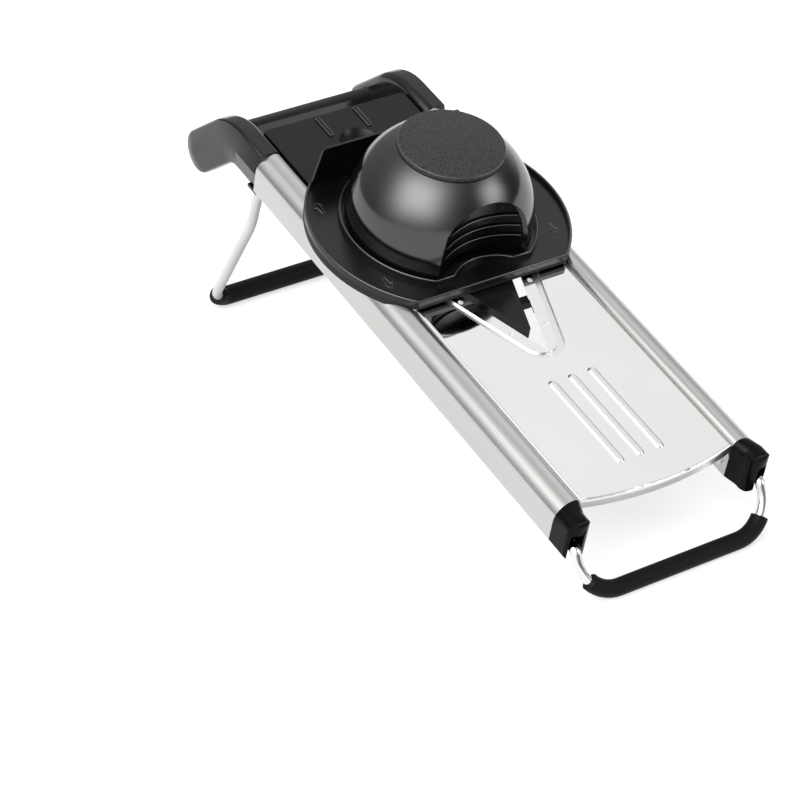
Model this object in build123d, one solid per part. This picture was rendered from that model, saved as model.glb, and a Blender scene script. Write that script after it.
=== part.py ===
from build123d import *
import math
import os

# A folding mandoline slicer with a V blade, a food guard and a domed pusher.
# It is drawn lying flat: X across the deck, Y along it towards the handle, Z up, with the
# deck's top at Z 0 and the plate's front corners at Y 0. At the end it is tilted on its feet.
# All lengths are millimetres and all angles degrees.

# Rails
RAIL_LENGTH = 314.0
RAIL_OUTER = 67.2
RAIL_INNER = 51.0
RAIL_CREST = 2.2
RAIL_BOTTOM = -24.2
RAIL_INNER_RADIUS = 5.0
RAIL_FOOT_RADIUS = 2.5
RAIL_WALL = 0.9

# Lower plate
PLATE_THICKNESS = 1.0
PLATE_BULGE = 6.5
PLATE_REAR = 238.0
LIP_HEIGHT = 6.0
LIP_RADIUS = 1.5
FLANGE_HEIGHT = 9.0
FLANGE_LENGTH = 165.0
FLANGE_ROLL = 2.0
BEAD_WIDTH = 5.6
BEAD_HEIGHT = 1.0
BEAD_SLOPE = 57.0
BEAD_PITCH = 13.3
BEAD_START = 14.5
BEAD_END = 84.0

# V blades in their recess
VEE_HALF_ANGLE = 19.0
VEE_APEX = 104.5
VEE_NOSE = 10.5
BLADE_WIDTH = 7.0
BLADE_THICKNESS = 1.0
BLADE_END_GAP = 1.4
BLADE_OVERHANG = 1.6
BLADE_BEVEL_WIDTH = 2.0
BLADE_BEVEL_DEPTH = 0.8
BLADE_HOLE = 3.2
BLADE_HOLE_START = 23.3
BLADE_HOLE_PITCH = 36.6
BLADE_HOLE_COUNT = 3
RECESS_DEPTH = 1.2
RECESS_BORDER = 4.3

# Cross brace
BRACE_FRONT = 154.0
BRACE_DEPTH = 6.0
BRACE_HEIGHT = 5.0
BRACE_TOP = -12.0

# Slicing insert and its guides
INSERT_TOP = -0.5
INSERT_HEIGHT = 8.0
INSERT_WALL = 2.0
INSERT_SIDE_GAP = 1.8
INSERT_NOSE_GAP = 21.0
INSERT_NOSE_HALF = 1.6
INSERT_REACH = 23.5
INSERT_CORNER = 2.0
BOWL_RADIUS = 12.5
BOWL_SETBACK = 30.5
BOWL_DEPTH = 5.5
BOWL_WALL = 2.0
GRIP_LENGTH = 17.0
GRIP_WIDTH = 2.6
GRIP_HEIGHT = 0.8
GRIP_SETBACK = 10.5
GRIP_SPREAD = 26.5
GUIDE_FRONT = 166.0
GUIDE_SETBACK = 2.5
GUIDE_LEDGE = 4.5
GUIDE_FLOOR = 2.6
GUIDE_LIP_DROP = 3.0
SLIDE_GAP = 0.35

# Handle
HANDLE_RISE = 0.8
HANDLE_LEAN = 3.0
HANDLE_EDGE_ROUND = 2.0
HORN_ARM = 24.0
HORN_BROW_RADIUS = 42.0
HORN_ANGLE = 47.0
HORN_FACE = 34.5
SPIGOT_LENGTH = 14.0
SPIGOT_GAP = 0.15
BAR_SETBACK = 12.0
BAR_LENGTH = 18.0
BAR_INSET = 4.1
BAR_THICKNESS = 17.9
BAR_ROUND = 6.0
BAR_TENON = 1.5

# End caps
CAP_LENGTH = 17.0
CAP_NOSE_BULGE = 4.0
CAP_CORNER = 2.5
CAP_NECK = 8.0
CAP_INSET = 2.0
CAP_INNER_RADIUS = 7.2
CAP_INNER_CORNER = 6.0
CAP_BROW = 5.0
CAP_POCKET_DROP = 8.7
CAP_POCKET_BACK = 2.5
CAP_CHEEK_GAP = 0.9

# Screws through the rails' inner walls
SCREW_SHANK = 3.0
SCREW_SHANK_LENGTH = 8.0
SCREW_HEAD = 6.0
SCREW_HEAD_HEIGHT = 1.6
SCREW_RISE = 7.2
SCREW_INSET = 7.0
SCREW_GAP = 0.1

# Front foot
FRONT_WIRE = 5.7
FRONT_LEG_INSET = 5.2
FRONT_PIN_SETBACK = 8.0
FRONT_PIN_RISE = 4.4
FRONT_CRANK_FORWARD = 7.8
FRONT_CRANK_RISE = 3.0
FRONT_LEG_LENGTH = 28.5
FRONT_LEG_ANGLE = 53.0
FRONT_PIN_LENGTH = 6.0
FRONT_PIN_BEND = 3.5
FRONT_KNEE_BEND = 4.0
FRONT_FOOT_BEND = 22.0
FRONT_SLEEVE = 10.0
FRONT_SLEEVE_ANGLE = 52.0

# Rear stand
REAR_WIRE = 6.0
REAR_LEG_INSET = 7.2
REAR_PIN_SETBACK = 4.7
REAR_PIN_DROP = 7.3
REAR_UPPER_LENGTH = 25.7
REAR_UPPER_ANGLE = 6.2
REAR_LOWER_LENGTH = 92.1
REAR_LOWER_ANGLE = 20.3
REAR_PIN_LENGTH = 8.0
REAR_PIN_BEND = 4.0
REAR_LEG_BEND = 60.0
REAR_FOOT_BEND = 11.0
REAR_SLEEVE = 12.0
REAR_SLEEVE_ANGLE = 50.0
SLEEVE_GAP = 0.05
PIVOT_GAP = 0.08

# Stand brackets
BRACKET_THICKNESS = 2.0
BRACKET_LENGTH = 9.0
BRACKET_INSET = 1.7
BRACKET_CHEEK_EDGE = 2.0
BRACKET_PIN_REST = 1.0

# Food guard
GUARD_CENTRE = 221.5
GUARD_RADIUS = 78.0
GUARD_FRONT = 162.3
GUARD_REAR = 278.6
GUARD_FLOOR = 1.9
GUARD_RAIL_GAP = 0.4
GUARD_BEAD_GAP = 0.6
GUARD_RIM_HEIGHT = 2.5
GUARD_RIM_WALL = 1.6
GUARD_SKIRT_DROP = 5.2
BACK_WALL = 1.6
BACK_WALL_HEIGHT = 25.5
BACK_WALL_BASE_HALF = 52.9
BACK_WALL_TOP_HALF = 47.2
COLLAR_RADIUS = 58.4
COLLAR_WALL = 1.8
COLLAR_HEIGHT = 2.8
COLLAR_FRONT = 172.8
NOTCH_HALF = 19.8
NOTCH_DEPTH = 7.8
COLLAR_CORNER = 2.2

# Pusher
DOME_RADIUS = 54.8
DOME_SKIRT = 8.0
DOME_WALL = 2.4
DOME_LEDGE = 1.3
DOME_REST_GAP = 0.3
PAD_RADIUS = 30.9
PAD_SEAT_RADIUS = 30.2
PAD_EDGE = 2.6
PAD_CROWN = 3.0
PAD_SPIGOT_RADIUS = 18.0
PAD_SPIGOT_LENGTH = 2.0
PAD_GAP = 0.1
PAD_ROUND = 1.0
SCOOP_RADIUS = 50.0
SCOOP_DEPTH = 18.8
SCOOP_HALF = 30.7
SCOOP_RISE = 4.9
SCOOP_WALL = 2.0
RIDGE_COUNT = 3
RIDGE_FIRST = 6.2
RIDGE_PITCH = 7.3
RIDGE_THICKNESS = 1.2
RIDGE_PROUD = 1.0
SPIKE_PLATE_RISE = 3.7
SPIKE_PLATE_THICKNESS = 2.5
SPIKE_PLATE_GAP = 0.35
SPIKE_DIAMETER = 1.8
SPIKE_CLEARANCE = 1.2
SPIKE_POINT = 4.0
SPIKE_PITCH = 15.0
SPIKE_ROOT = 1.5
SPIKE_RINGS = 2
BOSS_RADIUS = 4.0
BOSS_CIRCLE = 34.0
BOSS_COUNT = 3

# Places worked out from the sizes above
VEE_SLOPE = math.tan(math.radians(VEE_HALF_ANGLE))
VEE_SIN = math.sin(math.radians(VEE_HALF_ANGLE))
VEE_COS = math.cos(math.radians(VEE_HALF_ANGLE))
VEE_CENTRE = VEE_APEX + VEE_NOSE
BLADE_NOSE_RADIUS = BLADE_WIDTH + VEE_NOSE * VEE_SIN
BLADE_TOP = BLADE_THICKNESS - RECESS_DEPTH
SCREW_LEVEL = RAIL_BOTTOM + SCREW_RISE
INSERT_HALF = RAIL_INNER - INSERT_SIDE_GAP
INSERT_BOTTOM = INSERT_TOP - INSERT_HEIGHT
INSERT_NOSE = VEE_APEX + INSERT_NOSE_GAP
INSERT_REAR = RAIL_LENGTH + INSERT_REACH
HANDLE_TOP = RAIL_CREST + HANDLE_RISE
HANDLE_MIDDLE = (HANDLE_TOP + RAIL_BOTTOM) / 2
HORN_BEND = RAIL_LENGTH + HORN_ARM
HORN_HUB = Axis((0, HORN_BEND, HANDLE_TOP - HORN_BROW_RADIUS), (-1, 0, 0))
FRONT_SPREAD = RAIL_OUTER - FRONT_LEG_INSET
FRONT_PIN = (-FRONT_PIN_SETBACK, RAIL_BOTTOM + FRONT_PIN_RISE)
FRONT_KNEE = (FRONT_PIN[0] - FRONT_CRANK_FORWARD, FRONT_PIN[1] + FRONT_CRANK_RISE)
FRONT_LEG = (-math.cos(math.radians(FRONT_LEG_ANGLE)), -math.sin(math.radians(FRONT_LEG_ANGLE)))
FRONT_FOOT = tuple(k + FRONT_LEG_LENGTH * d for k, d in zip(FRONT_KNEE, FRONT_LEG))
REAR_SPREAD = RAIL_OUTER - REAR_LEG_INSET
REAR_PIN = (RAIL_LENGTH + REAR_PIN_SETBACK, RAIL_BOTTOM - REAR_PIN_DROP)
REAR_UPPER = (math.sin(math.radians(REAR_UPPER_ANGLE)), -math.cos(math.radians(REAR_UPPER_ANGLE)))
REAR_KNEE = tuple(p + REAR_UPPER_LENGTH * d for p, d in zip(REAR_PIN, REAR_UPPER))
REAR_LEG = (math.sin(math.radians(REAR_LOWER_ANGLE)), -math.cos(math.radians(REAR_LOWER_ANGLE)))
REAR_FOOT = tuple(k + REAR_LOWER_LENGTH * d for k, d in zip(REAR_KNEE, REAR_LEG))
GUARD_FLOOR_TOP = RAIL_CREST + GUARD_RAIL_GAP + GUARD_FLOOR
GUARD_RIM_TOP = GUARD_FLOOR_TOP + GUARD_RIM_HEIGHT
GUARD_MIDDLE_BOTTOM = BEAD_HEIGHT + GUARD_BEAD_GAP
DOME_BOTTOM = GUARD_FLOOR_TOP + DOME_REST_GAP
DOME_EQUATOR = DOME_BOTTOM + DOME_SKIRT
DOME_INNER = DOME_RADIUS - DOME_WALL
PAD_SEAT = DOME_EQUATOR + math.sqrt(DOME_RADIUS**2 - PAD_SEAT_RADIUS**2)
SCOOP_AXIS = GUARD_CENTRE - DOME_RADIUS + SCOOP_DEPTH - SCOOP_RADIUS
SPIKE_PLATE_TOP = DOME_EQUATOR + SPIKE_PLATE_RISE
SPIKE_PLATE_BOTTOM = SPIKE_PLATE_TOP - SPIKE_PLATE_THICKNESS
SPIKE_TIP = BEAD_HEIGHT + SPIKE_CLEARANCE
BEYOND = 2 * RAIL_LENGTH
SAME = 0.001


def along(face, start, end):
    """Extrude a face drawn across the deck (X, Z) from Y start to Y end."""
    return extrude(Plane.XZ.offset(-end) * face, end - start)


def across(face, start, end):
    """Extrude a face drawn from the side (Y, Z) from X start to X end."""
    return extrude(Plane.YZ.offset(start) * face, end - start)


def upward(face, bottom, top):
    """Extrude a face drawn in plan (X, Y) from Z bottom to Z top."""
    return extrude(Plane.XY.offset(bottom) * face, top - bottom)


def flip(shape):
    """The same piece on the other side of the deck."""
    return mirror(shape, about=Plane.YZ)


def block(x0, x1, y0, y1, z0, z1):
    """A box between two corners."""
    centre = Pos((x0 + x1) / 2, (y0 + y1) / 2, (z0 + z1) / 2)
    return centre * Box(x1 - x0, y1 - y0, z1 - z0)


def rod(radius, start, end):
    """A round bar from one point to another."""
    direction = Vector(*end) - Vector(*start)
    return extrude(Plane(origin=start, z_dir=direction) * Circle(radius), direction.length)


# Rails, their screws and their end caps

def d_section(inner, outer, crest, bottom, inner_radius, foot_radius):
    """A D-shaped section: two arcs that meet at the crest, upright sides and a rounded foot."""
    outer_radius = outer - inner - inner_radius
    top = (inner + inner_radius, crest)
    spring = (inner, crest - inner_radius)
    shoulder = (outer, crest - outer_radius)
    side = (outer, bottom + foot_radius)
    foot = (outer - foot_radius, bottom)
    outline = Curve() + [
        Polyline(foot, (inner, bottom), spring),
        RadiusArc(spring, top, inner_radius),
        RadiusArc(top, shoulder, outer_radius),
        Line(shoulder, side),
        RadiusArc(side, foot, foot_radius),
    ]
    return make_face(outline)


def rail_section(inset=0.0):
    """The right rail's section, drawn inset from its outer skin."""
    return d_section(RAIL_INNER + inset, RAIL_OUTER - inset, RAIL_CREST - inset, RAIL_BOTTOM + inset,
                     RAIL_INNER_RADIUS - inset, RAIL_FOOT_RADIUS - inset)


def cap_section():
    """The right cap's section in front of the rail, rounder inside and fuller outside."""
    return d_section(RAIL_INNER + CAP_INSET, RAIL_OUTER, RAIL_CREST, RAIL_BOTTOM,
                     CAP_INNER_RADIUS, RAIL_FOOT_RADIUS)


def screw_bar(place, radius, reach):
    """A round bar on a screw's axis, from inside the deck into the right rail."""
    start = (RAIL_INNER - SCREW_HEAD_HEIGHT, place, SCREW_LEVEL)
    return rod(radius, start, (RAIL_INNER + reach, place, SCREW_LEVEL))


def make_rail():
    rail = along(rail_section() - rail_section(RAIL_WALL), 0, RAIL_LENGTH)
    for place in (SCREW_INSET, RAIL_LENGTH - SCREW_INSET):
        rail -= screw_bar(place, SCREW_SHANK / 2 + SCREW_GAP, RAIL_INNER_RADIUS)
    return rail


def make_rail_screw(place):
    shank = screw_bar(place, SCREW_SHANK / 2, SCREW_SHANK_LENGTH)
    head = screw_bar(place, SCREW_HEAD / 2, 0)
    rim = head.edges().filter_by(GeomType.CIRCLE).sort_by(Axis.X)[0]
    return shank + fillet(rim, SCREW_HEAD_HEIGHT / 2)


def spigot(start, end, place):
    """The plug that fills a rail's end, with the bore for its screw."""
    plug = along(rail_section(RAIL_WALL + SPIGOT_GAP), start, end)
    return plug - screw_bar(place, SCREW_SHANK / 2 + SCREW_GAP, SCREW_SHANK_LENGTH + SCREW_GAP)


def cap_plan():
    """The cap from above: a bowed nose with rounded corners."""
    brow = CAP_NOSE_BULGE - CAP_LENGTH
    inner = RAIL_INNER + CAP_INSET
    outline = Curve() + [
        ThreePointArc((inner, brow), ((inner + RAIL_OUTER) / 2, -CAP_LENGTH), (RAIL_OUTER, brow)),
        Polyline((RAIL_OUTER, brow), (RAIL_OUTER, 0), (inner, 0), (inner, brow)),
    ]
    face = make_face(outline)
    face = fillet(face.vertices().sort_by_distance((RAIL_OUTER, brow))[0], CAP_CORNER)
    return fillet(face.vertices().sort_by_distance((inner, brow))[0], CAP_INNER_CORNER)


def cap_side():
    """The cap from the side: its top rolls over into the nose."""
    corners = [(0, RAIL_CREST), (-CAP_LENGTH, RAIL_CREST), (-CAP_LENGTH, RAIL_BOTTOM), (0, RAIL_BOTTOM)]
    face = make_face(Polyline(*corners, close=True))
    front = face.vertices().group_by(Axis.X)[0].sort_by(Axis.Y)
    face = fillet(front[-1], CAP_BROW)
    return fillet(face.vertices().sort_by(Axis.X)[0:2].sort_by(Axis.Y)[0], CAP_CORNER)


def make_end_cap():
    body = along(cap_section(), -CAP_LENGTH, -CAP_NECK) & upward(cap_plan(), RAIL_BOTTOM, RAIL_CREST)
    body = body & across(cap_side(), RAIL_INNER, RAIL_OUTER)
    body += loft([Plane.XZ * rail_section(), Plane.XZ.offset(CAP_NECK) * cap_section()], ruled=True)
    half_slot = FRONT_WIRE / 2 + CAP_CHEEK_GAP
    pocket_top = RAIL_CREST - CAP_POCKET_DROP
    pocket = block(FRONT_SPREAD - half_slot, FRONT_SPREAD + half_slot, -2 * CAP_LENGTH,
                   -CAP_POCKET_BACK, 2 * RAIL_BOTTOM, pocket_top)
    roof = pocket.edges().filter_by(Axis.Y).group_by(Axis.Z)[-1]
    body -= fillet(roof, CAP_CORNER)
    pin_end = FRONT_SPREAD - FRONT_PIN_LENGTH - PIVOT_GAP
    body -= rod(FRONT_WIRE / 2 + PIVOT_GAP, (pin_end, *FRONT_PIN), (FRONT_SPREAD, *FRONT_PIN))
    return body + spigot(0, SPIGOT_LENGTH, SCREW_INSET)


# Lower plate and V blades

def vee(apex):
    """The wedge that opens from the apex towards the handle."""
    half = BEYOND * VEE_SLOPE
    return make_face(Polyline((0, apex), (half, apex + BEYOND), (-half, apex + BEYOND), close=True))


def vee_band(radius):
    """A V with a round nose of this radius about the nose's centre."""
    side = (radius * VEE_COS, VEE_CENTRE - radius * VEE_SIN)
    far = (side[0] + BEYOND * VEE_SLOPE, side[1] + BEYOND)
    outline = Curve() + [
        ThreePointArc((-side[0], side[1]), (0, VEE_CENTRE - radius), side),
        Polyline(side, far, (-far[0], far[1]), (-side[0], side[1])),
    ]
    return make_face(outline)


def blade_holes():
    """The round holes along both blades."""
    inset = (BLADE_WIDTH + BLADE_BEVEL_WIDTH) / 2
    holes = Sketch()
    for index in range(BLADE_HOLE_COUNT):
        run = BLADE_HOLE_START + index * BLADE_HOLE_PITCH
        x = run * VEE_SIN + inset * VEE_COS
        y = VEE_APEX + run * VEE_COS - inset * VEE_SIN
        for side in (-1, 1):
            holes += Pos(side * x, y) * Circle(BLADE_HOLE / 2)
    return holes


def plate_outline(setback=0.0):
    """The plate's plan: a bowed front edge, straight sides and a square rear."""
    left = (-RAIL_INNER, setback)
    right = (RAIL_INNER, setback)
    outline = Curve() + [
        ThreePointArc(left, (0, setback - PLATE_BULGE), right),
        Polyline(right, (RAIL_INNER, PLATE_REAR), (-RAIL_INNER, PLATE_REAR), left),
    ]
    return make_face(outline)


def make_lower_plate():
    outline = plate_outline()
    plate = upward(outline, -PLATE_THICKNESS, 0)
    plate += upward(outline - plate_outline(PLATE_THICKNESS), -LIP_HEIGHT, 0)
    front = plate.edges().group_by(Axis.Z)[-1].sort_by(lambda edge: edge.center().Y)[0]
    plate = fillet(front, LIP_RADIUS)
    recess = BLADE_NOSE_RADIUS + RECESS_BORDER
    under = -RECESS_DEPTH - PLATE_THICKNESS
    plate += upward(vee_band(recess + PLATE_THICKNESS) & outline, under, -PLATE_THICKNESS)
    plate -= upward(vee_band(recess), -RECESS_DEPTH, PLATE_THICKNESS)
    opening = vee(VEE_APEX - BLADE_OVERHANG / VEE_SIN) + blade_holes()
    plate -= upward(opening, 2 * under, PLATE_THICKNESS)
    flange = block(RAIL_INNER - PLATE_THICKNESS, RAIL_INNER, 0, FLANGE_LENGTH,
                   -FLANGE_HEIGHT, -PLATE_THICKNESS)
    plate += [flange, flip(flange)]
    hub = (RAIL_INNER - FLANGE_ROLL, -FLANGE_ROLL)
    corner = Pos(hub[0] + FLANGE_ROLL / 2, hub[1] + FLANGE_ROLL / 2) * Rectangle(FLANGE_ROLL, FLANGE_ROLL)
    roll = along(corner - Pos(*hub) * Circle(FLANGE_ROLL), -PLATE_BULGE, FLANGE_LENGTH)
    plate -= [roll, flip(roll)]
    length = BEAD_END - BEAD_START - BEAD_WIDTH
    for column in (-1, 0, 1):
        place = Pos(column * BEAD_PITCH, (BEAD_START + BEAD_END) / 2) * Rot(0, 0, 90)
        slot = place * SlotCenterToCenter(length, BEAD_WIDTH)
        plate += extrude(slot, BEAD_HEIGHT, taper=BEAD_SLOPE)
    return plate


def make_blade():
    width = RAIL_INNER - BLADE_END_GAP
    side = Pos(width / 2, BEYOND / 2) * Rectangle(width, BEYOND)
    strip = (vee_band(BLADE_NOSE_RADIUS) - vee(VEE_APEX)) & side
    blade = upward(strip - blade_holes(), -RECESS_DEPTH, BLADE_TOP)
    bevel = Polyline((0, BLADE_TOP), (-BLADE_BEVEL_WIDTH, BLADE_TOP),
                     (0, BLADE_TOP - BLADE_BEVEL_DEPTH), close=True)
    edge = Plane(origin=(0, VEE_APEX, 0), x_dir=(-VEE_COS, VEE_SIN, 0), z_dir=(-VEE_SIN, -VEE_COS, 0))
    run = extrude(edge * make_face(bevel), BEYOND, both=True)
    return blade - run


def make_cross_brace():
    return block(-RAIL_INNER, RAIL_INNER, BRACE_FRONT, BRACE_FRONT + BRACE_DEPTH,
                 BRACE_TOP - BRACE_HEIGHT, BRACE_TOP)


# Slicing insert and the guides that carry it

def insert_outline(inset=0.0):
    """The insert's plan: a blunt V nose, straight sides and a square rear."""
    half = INSERT_HALF - inset
    nose_half = INSERT_NOSE_HALF - inset * math.tan(math.radians(45 - VEE_HALF_ANGLE / 2))
    nose = INSERT_NOSE + inset
    right = [(nose_half, nose), (half, nose + (half - nose_half) / VEE_SLOPE), (half, INSERT_REAR - inset)]
    return make_face(Polyline(*right, *[(-x, y) for x, y in reversed(right)], close=True))


def make_insert():
    body = upward(insert_outline(), INSERT_BOTTOM, INSERT_TOP)
    body = fillet(body.edges().filter_by(Axis.Z).group_by(Axis.Y)[-1], INSERT_CORNER)
    roof = INSERT_TOP - INSERT_WALL
    body -= upward(insert_outline(INSERT_WALL), 2 * INSERT_BOTTOM, roof)
    bowl_place = INSERT_REAR - BOWL_SETBACK
    bowl = Pos(0, bowl_place) * Circle(BOWL_RADIUS + BOWL_WALL)
    body += upward(bowl, INSERT_BOTTOM, roof + INSERT_WALL / 2)
    ball = (BOWL_RADIUS**2 + BOWL_DEPTH**2) / (2 * BOWL_DEPTH)
    body -= Pos(0, bowl_place, INSERT_TOP + ball - BOWL_DEPTH) * Sphere(ball)
    for side in (-1, 1):
        place = Pos(side * GRIP_SPREAD / 2, INSERT_REAR - GRIP_SETBACK) * Rot(0, 0, 90)
        slot = place * SlotCenterToCenter(GRIP_LENGTH - GRIP_WIDTH, GRIP_WIDTH)
        body += upward(slot, INSERT_TOP - INSERT_WALL / 2, INSERT_TOP + GRIP_HEIGHT)
    return body


def make_guide():
    ledge_top = INSERT_BOTTOM - SLIDE_GAP
    rear = INSERT_REAR - GUIDE_SETBACK
    ledge = block(RAIL_INNER - GUIDE_LEDGE, RAIL_INNER, GUIDE_FRONT, rear,
                  ledge_top - GUIDE_FLOOR, ledge_top)
    lip = block(INSERT_HALF + SLIDE_GAP, RAIL_INNER, GUIDE_FRONT, rear,
                ledge_top - GUIDE_FLOOR, INSERT_TOP - GUIDE_LIP_DROP)
    return ledge + lip


# Handle

def heading(angle):
    """A unit vector at this angle above the deck's rearward direction."""
    return Vector(math.cos(math.radians(angle)), math.sin(math.radians(angle)))


def arm_half():
    """The upper half of the right arm's section: a flat top and a side that leans out to a crease."""
    spring = (RAIL_INNER, HANDLE_TOP - RAIL_INNER_RADIUS)
    top = (RAIL_INNER + RAIL_INNER_RADIUS, HANDLE_TOP)
    edge = (RAIL_OUTER - HANDLE_LEAN, HANDLE_TOP)
    outline = Curve() + [
        RadiusArc(spring, top, RAIL_INNER_RADIUS),
        Polyline(top, edge, (RAIL_OUTER, HANDLE_MIDDLE), (RAIL_INNER, HANDLE_MIDDLE), spring),
    ]
    face = make_face(outline)
    return fillet(face.vertices().sort_by_distance(edge)[0], HANDLE_EDGE_ROUND)


def lean_back(shape):
    """Turn a shape, drawn straight behind the arm, about the brow's axis to the horn's slope."""
    return shape.rotate(HORN_HUB, HORN_ANGLE)


def make_horn():
    """The arm's section carried rearward, round the brow and down to a tip that rounds it off."""
    end = HORN_BEND + HORN_FACE
    half = arm_half()
    section = half + mirror(half, about=Plane((0, HANDLE_MIDDLE, 0), z_dir=(0, 1, 0)))
    horn = along(section, RAIL_LENGTH, HORN_BEND)
    horn += revolve(Plane.XZ.offset(-HORN_BEND) * section, HORN_HUB, HORN_ANGLE)
    drop = along(section, HORN_BEND, end)
    drop += revolve(Plane.XZ.offset(-end) * half, Axis((0, end, HANDLE_MIDDLE), (-1, 0, 0)), 180)
    horn += lean_back(drop)
    return horn + spigot(RAIL_LENGTH - SPIGOT_LENGTH, RAIL_LENGTH, RAIL_LENGTH - SCREW_INSET)


def make_grip_bar():
    """The bar between the horns, rounded and leaning with them."""
    place = HORN_BEND + BAR_SETBACK + BAR_LENGTH / 2
    level = HANDLE_TOP - BAR_INSET - BAR_THICKNESS / 2
    section = Pos(place, level) * RectangleRounded(BAR_LENGTH, BAR_THICKNESS, BAR_ROUND)
    half = RAIL_INNER + BAR_TENON
    return lean_back(across(section, -half, half))


def make_handle():
    horn = make_horn()
    return horn + flip(horn) + make_grip_bar()


# Folding feet

def bent_wire(diameter, spread, pin_length, points, bends):
    """A wire that runs from a pin down one leg, across the foot and up to the other pin."""
    right = [(spread - pin_length, *points[0])] + [(spread, *point) for point in points]
    path = [*right, *[(-x, y, z) for x, y, z in reversed(right)]]
    line = FilletPolyline(*path, radius=[*bends, *reversed(bends)])
    return sweep(Plane(origin=line @ 0, z_dir=line % 0) * Circle(diameter / 2), path=line)


def foot_sleeve(outer, wire, spread, foot, leg, bend, turn):
    """A soft tube on the foot's cross-piece that reaches round both of its bends."""
    ring = Circle(outer / 2) - Circle(wire / 2 + SLEEVE_GAP)
    flat = spread - bend
    start = Plane(origin=(flat, *foot), x_dir=(0, -leg[0], -leg[1]), z_dir=(1, 0, 0))
    hub = (flat, foot[0] - bend * leg[0], foot[1] - bend * leg[1])
    axis = Axis(hub, (0, leg[1], -leg[0]))
    elbow = revolve(start * ring, axis, turn)
    return extrude(start * ring, -2 * flat) + elbow + flip(elbow)


def make_front_foot_wire():
    bends = (FRONT_PIN_BEND, FRONT_KNEE_BEND, FRONT_FOOT_BEND)
    return bent_wire(FRONT_WIRE, FRONT_SPREAD, FRONT_PIN_LENGTH, (FRONT_PIN, FRONT_KNEE, FRONT_FOOT), bends)


def make_front_foot_sleeve():
    return foot_sleeve(FRONT_SLEEVE, FRONT_WIRE, FRONT_SPREAD, FRONT_FOOT, FRONT_LEG,
                       FRONT_FOOT_BEND, FRONT_SLEEVE_ANGLE)


def make_rear_stand_wire():
    bends = (REAR_PIN_BEND, REAR_LEG_BEND, REAR_FOOT_BEND)
    return bent_wire(REAR_WIRE, REAR_SPREAD, REAR_PIN_LENGTH, (REAR_PIN, REAR_KNEE, REAR_FOOT), bends)


def make_rear_stand_sleeve():
    return foot_sleeve(REAR_SLEEVE, REAR_WIRE, REAR_SPREAD, REAR_FOOT, REAR_LEG,
                       REAR_FOOT_BEND, REAR_SLEEVE_ANGLE)


def make_bracket():
    """An angle under the handle's arm with a cheek that holds the stand's pin."""
    cheek_end = REAR_SPREAD - REAR_PIN_BEND - BRACKET_PIN_REST / 2
    cheek_start = cheek_end - BRACKET_THICKNESS
    front = REAR_PIN[0] - BRACKET_LENGTH / 2
    rear = REAR_PIN[0] + BRACKET_LENGTH / 2
    tip = REAR_PIN[1] - REAR_WIRE / 2 - BRACKET_CHEEK_EDGE
    plate = block(cheek_start, RAIL_OUTER - BRACKET_INSET, front, rear,
                  RAIL_BOTTOM - BRACKET_THICKNESS, RAIL_BOTTOM)
    cheek = block(cheek_start, cheek_end, front, rear, tip, RAIL_BOTTOM)
    cheek = fillet(cheek.edges().filter_by(Axis.X).group_by(Axis.Z)[0], BRACKET_LENGTH / 3)
    bore = rod(REAR_WIRE / 2 + PIVOT_GAP, (0, *REAR_PIN), (RAIL_OUTER, *REAR_PIN))
    return plate + cheek - bore


# Food guard

def guard_outline(inset=0.0):
    """The tray's plan: a disc cut square across the front and the rear."""
    front = GUARD_FRONT + inset
    rear = GUARD_REAR - inset
    band = Pos(0, (front + rear) / 2) * Rectangle(BEYOND, rear - front)
    return (Pos(0, GUARD_CENTRE) * Circle(GUARD_RADIUS - inset)) & band


def collar_outline():
    """The collar's plan: a disc with a flat, notched front."""
    bite = (NOTCH_HALF**2 + NOTCH_DEPTH**2) / (2 * NOTCH_DEPTH)
    front = Pos(0, COLLAR_FRONT + BEYOND / 2) * Rectangle(BEYOND, BEYOND)
    face = (Pos(0, GUARD_CENTRE) * Circle(COLLAR_RADIUS)) & front
    face -= Pos(0, COLLAR_FRONT + NOTCH_DEPTH - bite) * Circle(bite)
    corners = face.vertices().filter_by(lambda corner: abs(corner.Y - COLLAR_FRONT) < SAME)
    return fillet(corners, COLLAR_CORNER)


def food_opening():
    """The hole in the tray's floor that the food is pressed through."""
    face = Pos(0, GUARD_CENTRE) * Circle(DOME_INNER - DOME_LEDGE)
    return face - Pos(0, SCOOP_AXIS) * Circle(SCOOP_RADIUS + SCOOP_WALL + DOME_LEDGE)


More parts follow.
